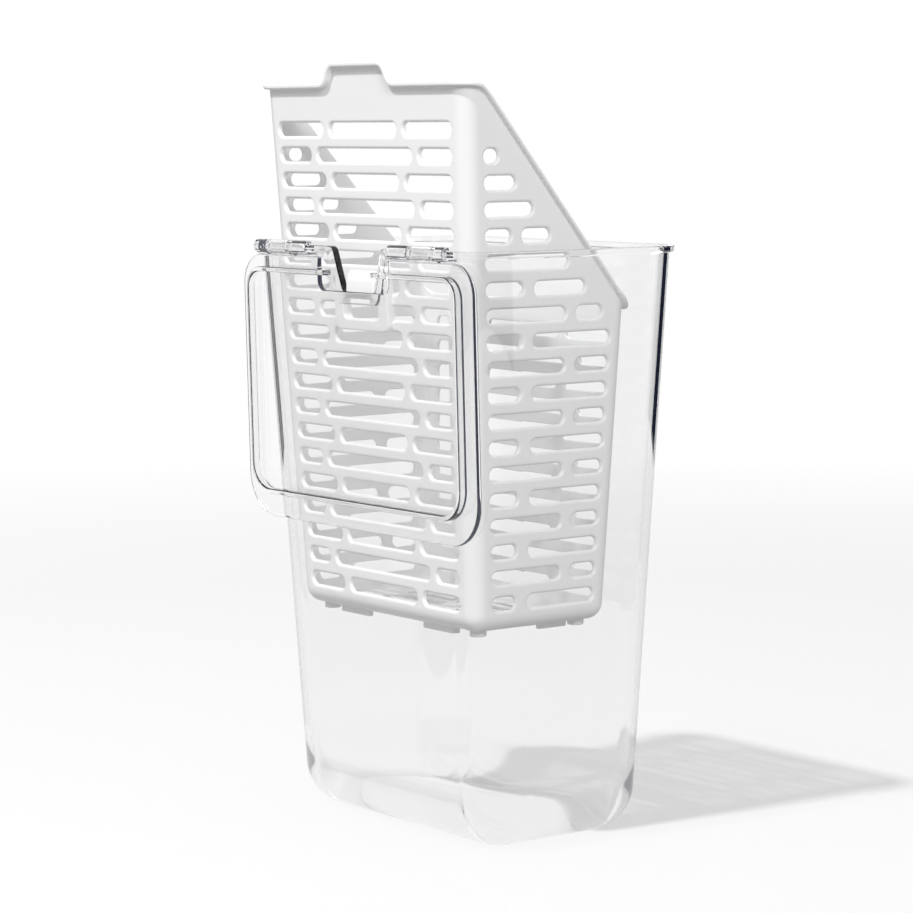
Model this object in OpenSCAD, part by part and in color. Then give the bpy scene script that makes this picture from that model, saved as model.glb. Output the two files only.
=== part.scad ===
// Produce keeper: a tall clear tapered container, a white slotted basket
// perched half out of it on the sill of a notch in its front wall, and a clear
// flip lid hanging open down the front on two clip-on knuckles.
// Millimetres. Origin: middle of the container's flat base, on the shelf.
// +Z up, +X along the hinge, -Y is the front (the hinge and notch side).

/* [Pieces] */
// Which piece to draw
// Facets on the small round parts
facets = 32; // [16:8:64]

/* [Container] */
// Height of the container over its rim
tall = 240; // [180:1:300]
// Width across the mouth, outside the wall
mouth_w = 163; // [120:0.5:200]
// Depth across the mouth, outside the wall
mouth_d = 106.2; // [80:0.1:140]
// How much narrower the container is at the shelf, width and depth alike
taper = 23.4; // [10:0.1:36]
// Radius of the upright corners and of the rounded bottom edge
corner_r = 20; // [12:0.5:28]
// Wall thickness of the clear mouldings
clear_wall = 2.2; // [1.6:0.1:3]
// Height of the flange round the mouth
rim_h = 2.6; // [1.5:0.1:5]
// How far the flange stands out from the wall
rim_out = 1.8; // [1:0.1:3]

/* [Notch] */
// Half width of the notch at the rim
notch_top = 16.5; // [12:0.1:22]
// Half width of the notch at its sill
notch_low = 10.8; // [9:0.1:16]
// Depth of the notch, from the rim to its sill
notch_deep = 18.5; // [10:0.1:30]
// Width of the raised bead round the notch
bead_w = 4.4; // [2:0.1:6]
// How far the bead stands out from the wall
bead_out = 0.8; // [0.4:0.1:1.2]

/* [Hinge] */
// Distance of the hinge line in front of the container's front wall, at the rim
hinge_stand = 3.9; // [3.6:0.1:6]
// Hinge line below the top of the rim
hinge_drop = 1; // [0:0.1:3]
// Radius of the lugs and knuckles
barrel_r = 2.9; // [2.4:0.1:3.2]
// Radius of the two moulded hinge pins
pin_r = 1.6; // [1.2:0.1:2]
// Radial play between a knuckle and its pin
pin_play = 0.06; // [0.02:0.01:0.1]
// Where an inner lug starts, from the middle
lug_in = 28.4; // [24:0.1:34]
// Length of an inner lug
lug_in_len = 13.55; // [8:0.05:16]
// Length of a knuckle
knuckle_len = 15; // [10:0.1:18]
// Length of an outer lug
lug_out_len = 8.35; // [5:0.05:10]
// Side play between a knuckle and a lug
side_play = 0.35; // [0.2:0.05:0.6]

/* [Lid] */
// How far the lid plate stays inside the container's sides
lid_side = 1; // [-2:0.1:4]
// From the hinge line to the near edge of the plate
lid_near = 3.5; // [3.2:0.1:6]
// Lip of the shut lid beyond the flange at the back
lid_lip = 2.1; // [1:0.1:8]
// Plate corner radius at the hinge
lid_r_near = 13; // [6:0.5:20]
// Plate corner radius at the free edge
lid_r_far = 18; // [8:0.5:24]
// Plate thickness
lid_t = 2.2; // [1.6:0.1:3]
// From a side of the plate to the ring on its underside
ring_in = 7; // [5:0.1:14]
// From the hinge line to the near side of the ring
ring_near = 8.5; // [7:0.1:12]
// From the free edge of the plate to the far side of the ring
ring_back = 10; // [8:0.1:20]
// Ring height above the plate
ring_h = 3.4; // [2:0.1:8]
// Ring wall thickness
ring_t = 2.2; // [1.4:0.1:3]
// Half width of the notch in the lid plate
lid_notch = 24.3; // [20:0.1:27]
// Depth of that notch from the hinge line
lid_notch_z = 17; // [14:0.1:20]
// Half width of the break in the ring at the notch
ring_gap = 16.5; // [12:0.1:22]
// Lean of the hanging lid towards the container, degrees
lean = 1.2; // [0:0.1:1.6]

/* [Basket] */
// Underside of the perched basket below the sill, without its feet
bk_below = 133.1; // [110:0.1:150]
// Height of the basket's front wall above that, over the flange
bk_front = 217.2; // [180:0.1:240]
// From a side of the container's mouth to the basket's side, at its top
bk_side = 11.6; // [6:0.1:24]
// From the front of the container's mouth to the basket's front, at its top
bk_fore = 1.7; // [1:0.1:8]
// From the back of the container's mouth to the basket's back, at the same height
bk_aft = 15.4; // [8:0.1:30]
// Taper of the width, per millimetre of height on each side
bk_sx = 0.046; // [0.02:0.001:0.06]
// Taper of the depth, per millimetre of height on each side
bk_sy = 0.051; // [0.02:0.001:0.06]
// Corner radius of the basket
bk_r = 7; // [4:0.5:12]
// Wall thickness of the basket
bk_wall = 2; // [1.4:0.1:3]
// Height of the low back wall above the underside, over its flange
bk_back = 127.2; // [100:0.1:160]
// From the basket's front to where the sloping top of its sides starts
slope_fore = 7.4; // [5:0.1:14]
// From the basket's back to where that sloping top ends
slope_aft = 5.1; // [3:0.1:12]
// How far the basket's flange stands out
flange_out = 2.6; // [1.5:0.1:4]
// Thickness of the basket's flange
flange_t = 1.8; // [1.2:0.1:3]
// Height of the finger tab over the front wall
tab_h = 8.4; // [4:0.1:14]
// Half width of the finger tab at its top
tab_top = 15.3; // [8:0.1:22]
// Half width of the finger tab at its foot
tab_low = 22.6; // [14:0.1:30]
// Height of the feet under the basket
foot_h = 2.5; // [1:0.1:5]
// Radius of a round foot
foot_r = 3.4; // [2:0.1:5]
// From the basket's side to the middle of a round foot
foot_in = 19.9; // [18:0.1:24]
// From the front or back edge of the floor to the middle of a round foot
foot_back = 9; // [8:0.1:12]
// Length of a rib under the front or back edge of the floor
rib_len = 20; // [12:0.1:26]
// Length of the rib between two round feet
side_rib_len = 14; // [8:0.1:18]
// Thickness of these ribs
rib_t = 2.4; // [1.5:0.1:4]
// Gap from a round foot's middle to the ribs beside it
rib_gap = 11; // [6:0.1:14]
// From the front or back edge of the floor to its rib
rib_back = 5.6; // [4:0.1:8]

/* [Slots] */
// Distance between two rows of slots
row_pitch = 10.42; // [8:0.01:14]
// Height of a slot
slot_h = 5.54; // [3:0.01:8]
// Lower edge of the first row below the top of the front wall
row_first = 21.3; // [15:0.1:30]
// Number of rows
rows = 19; // [8:1:22]
// From the corner of the basket to the end of a row
row_inset = 9; // [8:0.1:14]
// From the basket's side to the end of the middle slot in the first row
mid_in = 46.6; // [40:0.1:52]
// The same in the second row
mid_in_next = 36.9; // [30:0.1:44]
// Web between the slots of a front or back row
mid_web = 4.4; // [3:0.1:8]
// From the basket's front to the web of the side's odd rows
web_fore = 30.4; // [24:0.1:36]
// The same in even rows
web_fore_next = 52; // [44:0.1:58]
// The same in the first row that has room for a web
web_fore_first = 23.4; // [18:0.1:28]
// Web between the slots of a side row
side_web = 6.1; // [4:0.1:9]
// Distance of the side rows from the sloping edge, along the basket
edge_keep = 13; // [9:0.1:18]
// Distance between two rows of drain slots in the floor
drain_pitch = 9; // [7:0.1:12]
// Web between the drain slots in the middle of the floor
drain_web = 10; // [6:0.1:16]
// From the basket's side to the end of a drain slot
drain_in = 30.9; // [26:0.1:36]
// Facets on the round end of a slot
slot_facets = 12; // [8:4:32]

/* [Perch hook] */
// Half width of the raised pad on the front wall
pad_half = 18.35; // [14:0.05:22]
// Lower edge of the pad below the sill
pad_down = 15; // [10:0.1:20]
// Upper edge of the pad above the sill
pad_up = 11; // [6:0.1:16]
// Gap between the pad and the inside of the container
pad_gap = 0.15; // [0.05:0.05:0.5]
// Half width of the ledge that sits on the sill
ledge_half = 9.5; // [7:0.1:10.4]
// Height of the ledge
ledge_h = 9.4; // [5:0.1:12]
// Half width of the window in the pad
win_half = 12; // [8:0.1:15]
// Height of the window
win_h = 8.2; // [4:0.1:10]
// From the pad's lower edge to the window
win_up = 4.5; // [3:0.1:7]
// Thickness of the pad
pad_t = 6; // [4:0.1:8]
// Round corners of the pad
pad_r = 3.4; // [1:0.1:5]
// Round corners of the window
win_r = 2.2; // [0.5:0.1:3]

/* [Hidden] */
eps = 0.01;
tilt = atan(taper / 2 / tall);           // lean of the container's walls
sill_z = tall - notch_deep;              // height of the sill above the shelf
hinge_out = mouth_d / 2 + hinge_stand;   // hinge line in front of the middle
hinge_y = -hinge_out;
hinge_z = tall - hinge_drop;
knuckle_a = lug_in + lug_in_len + side_play;   // inner and outer end of a knuckle
knuckle_b = knuckle_a + knuckle_len;
lug_out = knuckle_b + side_play + lug_out_len;
lid_half = mouth_w / 2 - lid_side;       // half width of the lid plate
lid_far = hinge_out + mouth_d / 2 + rim_out + lid_lip;   // its free edge, from the hinge line
ring_half = lid_half - ring_in;
ring_far = lid_far - ring_back;
bk_half = mouth_w / 2 - bk_side;         // basket at the top of its front wall
bk_yf = mouth_d / 2 - bk_fore;
bk_yb = mouth_d / 2 - bk_aft;
slope_yf = bk_yf - slope_fore;
slope_yb = bk_yb - slope_aft;
bk_bottom = sill_z - bk_below;
bk_top = bk_bottom + bk_front;           // top of the basket's front wall
row_z1 = bk_top - row_first;             // lower edge of row one
foot_x = bk_half - foot_in;
wall_lean = bk_sy * bk_front;            // how far the front and back walls come in on the way down
cut_over = 0.3;                          // how far a cutter reaches past a wall
clear_c = [0.86, 0.90, 0.93, 0.35];
white_c = [0.95, 0.95, 0.94];

// outside half width, half depth of the container at a height
function c_w(z) = (mouth_w - taper * (1 - z / tall)) / 2;
function c_d(z) = (mouth_d - taper * (1 - z / tall)) / 2;
// basket planes at a height
function b_w(z) = bk_half - bk_sx * (bk_top - z);
function b_f(z) = -bk_yf + bk_sy * (bk_top - z);
function b_b(z) = bk_yb - bk_sy * (bk_top - z);
slope_k = (bk_front - bk_back) / (slope_yf + slope_yb);   // drop of the sloping edge per mm of depth

// ---------------------------------------------------------------- container
// tapered tub with round corners and a round bottom edge, shrunk by "less"
module tub(less, top) {
  hull() {
    for (sx = [-1, 1], sy = [-1, 1]) {
      translate([sx * (c_w(corner_r) - corner_r), sy * (c_d(corner_r) - corner_r), corner_r])
        sphere(r = corner_r - less, $fn = 32);
      translate([sx * (c_w(top) - corner_r), sy * (c_d(top) - corner_r), top - eps])
        cylinder(r = corner_r - less, h = eps, $fn = 32);
    }
  }
}

module rim_plate(grow, z, h) {
  w = c_w(tall) + grow;
  d = c_d(tall) + grow;
  r = corner_r + grow;
  translate([0, 0, z]) {
    translate([-w + r, -d, 0]) cube([2 * (w - r), 2 * d, h]);
    translate([-w, -d + r, 0]) cube([2 * w, 2 * (d - r), h]);
    for (sx = [-1, 1], sy = [-1, 1])
      translate([sx * (w - r), sy * (d - r), 0]) cylinder(r = r, h = h, $fn = 64);
  }
}

// notch outline seen from the front: x and height
module notch_face(grow) {
  z0 = sill_z - grow;
  polygon([[-notch_low - grow + 2.4, z0], [notch_low + grow - 2.4, z0],
           [notch_low + grow - 0.6, z0 + 0.8], [notch_low + grow + 0.4, z0 + 2.8],
           [notch_top + grow, tall + 6], [-notch_top - grow, tall + 6],
           [-notch_low - grow - 0.4, z0 + 2.8], [-notch_low - grow + 0.6, z0 + 0.8]]);
}

module lug(a, b) {
  translate([a, hinge_y, hinge_z]) rotate([0, 90, 0]) cylinder(r = barrel_r, h = b - a, $fn = facets);
  translate([a, hinge_y, hinge_z - barrel_r]) cube([b - a, hinge_out - c_d(hinge_z) + 0.8, barrel_r + hinge_drop]);
}

module container() color(clear_c) {
  difference() {
    union() {
      difference() {
        union() {
          tub(0, tall);
          rim_plate(rim_out, tall - rim_h, rim_h);
          for (s = [0, 1]) mirror([s, 0, 0]) {
            lug(lug_in, knuckle_a - side_play);
            lug(knuckle_b + side_play, lug_out);
          }
          // bead round the notch, parallel to the sloping wall
          intersection() {
            translate([0, -c_d(0), 0]) rotate([tilt, 0, 0])
              translate([-notch_top - 2 * bead_w, -bead_out, sill_z - 2 * bead_w])
                cube([2 * (notch_top + 2 * bead_w), bead_out + 1, notch_deep + 2 * bead_w - 0.2]);
            translate([0, 15 - mouth_d / 2, 0]) rotate([90, 0, 0])
              linear_extrude(height = 30) notch_face(bead_w);
          }
        }
        hull() {
          for (sx = [-1, 1], sy = [-1, 1]) {
            translate([sx * (c_w(corner_r) - corner_r), sy * (c_d(corner_r) - corner_r), corner_r])
              sphere(r = corner_r - clear_wall, $fn = 32);
            translate([sx * (c_w(tall + 4) - corner_r), sy * (c_d(tall + 4) - corner_r), tall + 4])
              cylinder(r = corner_r - clear_wall, h = eps, $fn = 32);
          }
        }
        // flange relieved round the knuckles
        for (s = [0, 1]) mirror([s, 0, 0])
          translate([knuckle_a - side_play, hinge_y, hinge_z]) rotate([0, 90, 0])
            cylinder(r = barrel_r + 0.35, h = knuckle_b - knuckle_a + 2 * side_play, $fn = facets);
      }
      for (s = [0, 1]) mirror([s, 0, 0])
        translate([knuckle_a - side_play - 1, hinge_y, hinge_z]) rotate([0, 90, 0])
          cylinder(r = pin_r, h = knuckle_b - knuckle_a + 2 * side_play + 2, $fn = facets);
    }
    translate([0, 15 - mouth_d / 2, 0]) rotate([90, 0, 0]) linear_extrude(height = 30) notch_face(0);
  }
}

// ---------------------------------------------------------------------- lid
// outline in the plate's own plane: x, and height below the hinge line
module lid_face(half, near, far, rn, rf) {
  translate([-half, -far + rf]) square([2 * half, far - rf - near - rn]);
  translate([-half + rf, -far]) square([2 * (half - rf), rf + 1]);
  translate([-half + rn, -near - rn - 1]) square([2 * (half - rn), rn + 1]);
  for (s = [-1, 1]) {
    translate([s * (half - rf), -far + rf]) circle(r = rf, $fn = 64);
    translate([s * (half - rn), -near - rn]) circle(r = rn, $fn = 64);
  }
}

module lid() color(clear_c)
  translate([0, hinge_y, hinge_z]) rotate([lean, 0, 0]) difference() {
    union() {
      translate([0, hinge_drop + 0.1 + lid_t, 0]) rotate([90, 0, 0]) linear_extrude(height = lid_t)
        difference() {
          lid_face(lid_half, lid_near, lid_far, lid_r_near, lid_r_far);
          translate([-lid_notch, -lid_notch_z + 4]) square([2 * lid_notch, lid_notch_z]);
          translate([-lid_notch + 4, -lid_notch_z]) square([2 * (lid_notch - 4), lid_notch_z]);
          for (s = [-1, 1]) translate([s * (lid_notch - 4), -lid_notch_z + 4]) circle(r = 4, $fn = 32);
        }
      // ring on the underside, broken at the notch
      translate([0, hinge_drop + 0.6, 0]) rotate([90, 0, 0]) linear_extrude(height = ring_h + 0.5)
        difference() {
          lid_face(ring_half, ring_near, ring_far, 9, 13);
          lid_face(ring_half - ring_t, ring_near + ring_t, ring_far - ring_t, 6.8, 10.8);
          translate([-ring_gap, -ring_near - ring_t - 1]) square([2 * ring_gap, ring_t + 4]);
        }
      for (s = [0, 1]) mirror([s, 0, 0]) {
        translate([knuckle_a, 0, 0]) rotate([0, 90, 0])
          cylinder(r = barrel_r, h = knuckle_b - knuckle_a, $fn = facets);
        translate([knuckle_a, 0.2, -lid_near - 1.5])
          cube([knuckle_b - knuckle_a, hinge_drop + lid_t - 0.1, 3]);
      }
    }
    for (s = [0, 1]) mirror([s, 0, 0])
      translate([knuckle_a - 1, 0, 0]) rotate([0, 90, 0])
        cylinder(r = pin_r + pin_play, h = knuckle_b - knuckle_a + 2, $fn = facets);
  }

// ------------------------------------------------------------------- basket
module basket_body(less, bottom, top, grow) {
  r = bk_r - less + grow;
  hull() {
    for (sx = [-1, 1]) {
      for (yy = [b_f(bottom + bk_r) + bk_r, b_b(bottom + bk_r) - bk_r])
        translate([sx * (b_w(bottom + bk_r) - bk_r), yy, bottom + bk_r]) sphere(r = r, $fn = 32);
      for (yy = [b_f(top) + bk_r, b_b(top) - bk_r])
        translate([sx * (b_w(top) - bk_r), yy, top]) cylinder(r = r, h = eps, $fn = 32);
    }
  }
}

// side view of what is kept: depth and height
module side_keep(less) {
  polygon([[-mouth_d, bk_bottom - 20], [-mouth_d, bk_top - less], [-slope_yf, bk_top - less],
           [slope_yb, bk_bottom + bk_back - less], [mouth_d, bk_bottom + bk_back - less], [mouth_d, bk_bottom - 20]]);
}

// finger tab seen from the front
module tab_face(less) {
  h = bk_top + tab_h;
  polygon([[-tab_low, bk_top - 6], [tab_low, bk_top - 6], [tab_low - less, bk_top - less],
           [tab_low - 1.6 - less, bk_top + 3.6 - less * 0.5], [tab_low - 3.2 - less, bk_top + 6.4 - less * 0.8],
           [tab_top - less * 0.6, h - less], [-tab_top + less * 0.6, h - less],
           [-tab_low + 3.2 + less, bk_top + 6.4 - less * 0.8], [-tab_low + 1.6 + less, bk_top + 3.6 - less * 0.5],
           [-tab_low + less, bk_top - less]]);
}

// obround slot cutter from a to b along the first axis of the face, as one
// outline, so that its round ends and its straight sides share their corners
module slot(a, b, z) {
  r = slot_h / 2;
  n = slot_facets / 2;
  polygon([for (s = [0, 1], k = [0 : n]) let (t = 180 * (s + k / n))
    [(s == 0 ? b - r : a + r) + r * sin(t), z + r - r * cos(t)]]);
}

function row_z(i) = row_z1 - row_pitch * i;

// slots of one row on the front or back face; i counts from 0 at the top
module face_row(i) {
  z = row_z(i);
  mid = bk_half - (i % 2 == 0 ? mid_in : mid_in_next);
  slot(-mid, mid, z);
  for (s = [0, 1]) mirror([s, 0]) slot(mid + mid_web, b_w(z) - row_inset, z);
}

// slots of one row on a side face, in two where both have room
module side_row(i) {
  z = row_z(i);
  f = b_f(z) + row_inset;
  b = min(b_b(z) - row_inset, -slope_yf + (bk_top - z - slot_h) / slope_k - edge_keep);
  web = (i == 4 ? web_fore_first : i % 2 == 0 ? web_fore : web_fore_next) - bk_yf;
  if (b > web + side_web + slot_h) {
    slot(f, web, z);
    slot(web + side_web, b, z);
  } else slot(f, b, z);
}

// raised pad on the front wall, lying along the inside of the container,
// and the ledge through the notch that carries the basket on the sill
module pad_face(low, high, half, r) {
  translate([-half, low + r]) square([2 * half, high - low - r]);
  translate([-half + r, low]) square([2 * (half - r), high - low]);
  for (s = [-1, 1]) translate([s * (half - r), low + r]) circle(r = r, $fn = 24);
}

module perch() {
  ledge_root = -c_d(sill_z) + clear_wall + pad_gap + pad_t * 0.6;
  translate([0, -c_d(0), 0]) rotate([tilt, 0, 0]) translate([0, clear_wall + pad_gap + pad_t, 0])
    rotate([90, 0, 0]) linear_extrude(height = pad_t) pad_face(sill_z - pad_down, sill_z + pad_up, pad_half, pad_r);
  translate([-ledge_half, 0, 0]) rotate([90, 0, 90]) linear_extrude(height = 2 * ledge_half)
    polygon([[ledge_root, sill_z], [-c_d(sill_z) - 0.3, sill_z], [-c_d(sill_z) - 0.3, sill_z + ledge_h * 0.5],
             [-c_d(sill_z) + 0.9, sill_z + ledge_h * 0.82], [-c_d(sill_z) + 3, sill_z + ledge_h], [ledge_root, sill_z + ledge_h]]);
}

module basket() color(white_c) {
  front_in = -bk_yf + wall_lean + bk_wall + cut_over;   // where the front cutters start
  front_cut = front_in + bk_yf + flange_out;
  pad_clear = 0.4;                                      // from the pad to the slots that stop at it
  difference() {
    union() {
      // side walls, low back wall and front wall under the flange
      intersection() {
        basket_body(0, bk_bottom, bk_top, 0);
        translate([-mouth_w, 0, 0]) rotate([90, 0, 90]) linear_extrude(height = 2 * mouth_w) side_keep(0);
      }
      // flange along the whole top edge, stepping up round the finger tab
      difference() {
        intersection() {
          basket_body(0, bk_bottom, bk_top + 1, flange_out);
          translate([-mouth_w, 0, 0]) rotate([90, 0, 90]) linear_extrude(height = 2 * mouth_w)
            difference() { side_keep(0); translate([0, -flange_t]) side_keep(0); }
        }
        translate([-tab_low + flange_t, -mouth_d, bk_top - 9]) cube([2 * (tab_low - flange_t), mouth_d + b_f(bk_top) - 0.02, 20]);
      }
      translate([0, b_f(bk_top) + bk_wall, 0]) rotate([90, 0, 0])
        linear_extrude(height = bk_wall) tab_face(0);
      translate([0, b_f(bk_top) + bk_wall, 0]) rotate([90, 0, 0])
        linear_extrude(height = bk_wall + flange_out)
          difference() { tab_face(0); tab_face(flange_t); translate([-2 * tab_low, bk_top - 20]) square([4 * tab_low, 20 - flange_t]); }
      perch();
      // feet
      for (s = [-1, 1]) {
        for (yy = [b_f(bk_bottom) + rib_back, b_b(bk_bottom) - rib_back - rib_t])
          translate([s * (foot_x - rib_gap - rib_len / 2) - rib_len / 2, yy, bk_bottom - foot_h])
            cube([rib_len, rib_t, foot_h + bk_wall / 2]);
        translate([s * foot_x - rib_t / 2, b_b(bk_bottom) - foot_back - rib_gap / 2 - side_rib_len, bk_bottom - foot_h])
          cube([rib_t, side_rib_len, foot_h + bk_wall / 2]);
        for (yy = [b_f(bk_bottom) + foot_back, b_b(bk_bottom) - foot_back])
          translate([s * foot_x, yy, bk_bottom - foot_h]) cylinder(r = foot_r, h = foot_h + bk_wall / 2, $fn = 24);
      }
    }
    basket_body(bk_wall, bk_bottom, bk_top + 1, 0);
    // rows of slots: front, back, sides
    translate([0, front_in, 0]) rotate([90, 0, 0]) linear_extrude(height = front_cut) difference() {
      for (i = [0 : rows - 1]) face_row(i);
      translate([-pad_half - pad_clear, sill_z - pad_down - pad_clear])
        square([2 * (pad_half + pad_clear), pad_down + pad_up + 2 * pad_clear]);
    }
    translate([0, bk_yb + flange_out, 0]) rotate([90, 0, 0])
      linear_extrude(height = flange_out + wall_lean + bk_wall + cut_over)
      for (i = [8 : rows - 1]) face_row(i);
    translate([-mouth_w / 2, 0, 0]) rotate([90, 0, 90]) linear_extrude(height = mouth_w)
      for (i = [1 : rows - 1]) side_row(i);
    // window in the pad
    translate([0, front_in, 0]) rotate([90, 0, 0]) linear_extrude(height = front_cut)
      pad_face(sill_z - pad_down + win_up, sill_z - pad_down + win_up + win_h, win_half, win_r);
    // drain slots in the floor
    translate([0, 0, bk_bottom - 1]) linear_extrude(height = 6)
      for (k = [-2 : 2], s = [0, 1]) mirror([s, 0])
        translate([2 * abs(k % 2), (b_f(bk_bottom) + b_b(bk_bottom)) / 2 + k * drain_pitch])
          slot(drain_web / 2, bk_half - drain_in, -slot_h / 2);
  }
}

container();
basket();
lid();
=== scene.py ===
import math

import bmesh
import bpy
from mathutils import Matrix, Vector


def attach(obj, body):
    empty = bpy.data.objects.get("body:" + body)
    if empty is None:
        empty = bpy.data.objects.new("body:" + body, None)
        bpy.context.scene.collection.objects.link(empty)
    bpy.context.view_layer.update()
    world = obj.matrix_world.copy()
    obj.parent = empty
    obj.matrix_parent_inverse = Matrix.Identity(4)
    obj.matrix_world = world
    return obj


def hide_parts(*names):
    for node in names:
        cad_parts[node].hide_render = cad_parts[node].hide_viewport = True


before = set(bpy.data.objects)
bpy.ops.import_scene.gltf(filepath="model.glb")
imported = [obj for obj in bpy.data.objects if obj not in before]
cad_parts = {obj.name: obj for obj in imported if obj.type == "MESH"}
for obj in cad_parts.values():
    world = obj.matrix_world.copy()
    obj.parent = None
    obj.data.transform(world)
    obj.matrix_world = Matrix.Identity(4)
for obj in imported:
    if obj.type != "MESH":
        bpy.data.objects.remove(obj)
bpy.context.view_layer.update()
MM = 0.001

# ------------------------------------------------------------------ the sizes
# container: over the rim, at the mouth, what it loses down to the shelf, corners and walls
TALL, MOUTH_W, MOUTH_D, TAPER = 240.0, 163.0, 106.2, 23.4
CORNER, CLEAR_WALL = 20.0, 2.2
BASE_BEND = 27.0  # how high the round bottom edge reaches on the inside
RIM_H, RIM_OUT, RIM_STEP, RIM_ROUND = 2.6, 1.8, 0.35, 0.55
SILL, BEAD_OUT = 221.5, 0.8
# hinge: its line, radii, plays, gap to the rim, and where knuckles and lugs start and end
HINGE_Y, HINGE_Z = -57.0, 239.0
BARREL, PIN, PLAY, SIDE_PLAY, RELIEF, PIN_SUNK = 2.9, 1.6, 0.06, 0.35, 0.35, 1.0
KNUCKLE_A, KNUCKLE_B, LUG_IN, LUG_OUT = 42.3, 57.3, 28.4, 66.0
KNUCKLE_EDGE, KNUCKLE_ROUND = 0.5, 0.15
LUG_ROOT, LUG_EDGE = [(4.9, -BARREL), (4.9, 1.0), (1.0, 1.0)], 0.5
# lid: outlines (half width, far edge, near edge, far corners, near corners) up from the hinge line,
# and heights over the plane of the hinge line, away from the container
LEAN = math.radians(1.2)
LID_OUTLINE, LID_LOW, LID_HIGH, LID_EDGE = (80.5, -114.0, -3.5, 18.0, 13.0), -3.3, -1.1, 0.95
LID_NOTCH, LID_NOTCH_END, LID_NOTCH_R = 24.3, -17.0, 4.0
RING_OUTLINE, RING_LOW, RING_HIGH, RING_EDGE = (73.5, -104.0, -8.5, 13.0, 9.0), -2.4, 2.3, 1.0
RING_WALL, RING_END = 2.2, 16.5
# web from the plate to a knuckle: (behind the plate's middle, up from the hinge line)
WEB = [(0.0, -6.4), (1.7, -6.4), (1.7, -2.0), (0.4, -2.0)]
WEB_MIDDLE, WEB_SHORT, WEB_EDGE = -1.5, 0.02, 0.25
# basket: heights, half width, front and back at the top, and what they lose per mm down
BK_BOTTOM, BK_TOP, BK_BACK_TOP = 88.4, 305.6, 215.6
BK_HALF, BK_FRONT, BK_BACK = 69.9, 51.4, 37.7
BK_SX, BK_SY, BK_R, BK_WALL = 0.046, 0.051, 7.0, 2.0
SLOPE_FRONT, SLOPE_BACK = -44.0, 32.6
SLOPE_K = (BK_TOP - BK_BACK_TOP) / (SLOPE_BACK - SLOPE_FRONT)
SLOPE_BEND_FRONT, SLOPE_BEND_BACK = 1.3, 0.6
FLANGE_OUT, FLANGE_T, FLANGE_STEP, FLANGE_ROUND = 2.6, 1.8, 0.5, 0.6
# rows of slots: middle slots reach MIDDLE_END each way, and outer slots start at OUTER_START
SLOT_H, ROW_PITCH, ROWS, ROW_INSET, FIRST_ROW = 5.54, 10.42, 19, 9.0, BK_TOP - 21.3
MIDDLE_END, OUTER_START, ROW_STAGGER, FIRST_BACK_ROW = 23.3, 27.7, 9.7, 8
SIDE_SPLIT_EVEN, SIDE_SPLIT_ODD, SIDE_SPLIT_FIFTH, SIDE_WEB = -20.2, 1.2, 6.2, 5.2
SIDE_SHORTEST, SIDE_BACK_LONGER, SLOPE_CLEAR = 6.0, 0.6, 12.0
DRAINS, DRAIN_FIRST, DRAIN_PITCH, DRAIN_HALF, DRAIN_MIDDLE, DRAIN_STAGGER = 5, -24.5, 9.0, 17, 22, 2
SLOT_ROUND, SLOT_ROUND_INSIDE = 1.25, 0.4  # the second is a share of the first
# cutters: where the middle of a wall is, and how far they reach each way from there
FRONT_AT, FRONT_REACH, BACK_AT, BACK_REACH, SIDE_REACH, DRAIN_REACH = -46.0, 14.0, 32.0, 12.0, 90.0, 4.0
# pad of the hook, the plug of it that fills the wall, its window and the ledge on the sill
PAD_HALF, PAD_LOW, PAD_HIGH, PAD_THICK, PAD_EDGE = 18.35, SILL - 15.0, SILL + 11.0, 4.3, 0.7
PAD_R, PAD_R_TOP, PAD_GAP = 3.4, 1.2, 0.15
PLUG_HALF, PLUG_LOW, PLUG_HIGH = PAD_HALF - 0.6, PAD_LOW + 2.1, PAD_HIGH - 2.5
PLUG_AT, PLUG_DEEP = -50.0, 20.0
WINDOW_HALF, WINDOW_LOW, WINDOW_H, WINDOW_R = 12.0, PAD_LOW + 4.5, 8.2, 2.2
WINDOW_INNER, WINDOW_OUTER = -9.0, 4.0
LEDGE_HALF, LEDGE_INNER, LEDGE_EDGE = 9.5, -46.5, 0.8
# feet and ribs under the basket
FOOT_DOWN, FOOT_UP, FOOT_X, FOOT_IN, FOOT_R, FOOT_EDGE = 2.5, 1.0, 50, 9, 3.4, 0.6
RIB_X, RIB_HALF, RIB_FROM, RIB_TO, RIB_EDGE = 29, 10, 5.6, 8.0, 0.5
SIDE_RIB_HALF, SIDE_RIB_FROM, SIDE_RIB_TO = 1.2, -2.0, 12.0
# mesh limits: points closer than this are one point, and walls flatter than this (rad) are one face
SAME_POINT, FLAT = 1e-4, 0.003
# steps of round shapes
BARREL_STEPS, LID_CORNER_STEPS, PAD_CORNER_STEPS = 40, 10, 8
CONTAINER_CORNER_STEPS, BASKET_CORNER_STEPS = 14, 12


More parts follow.
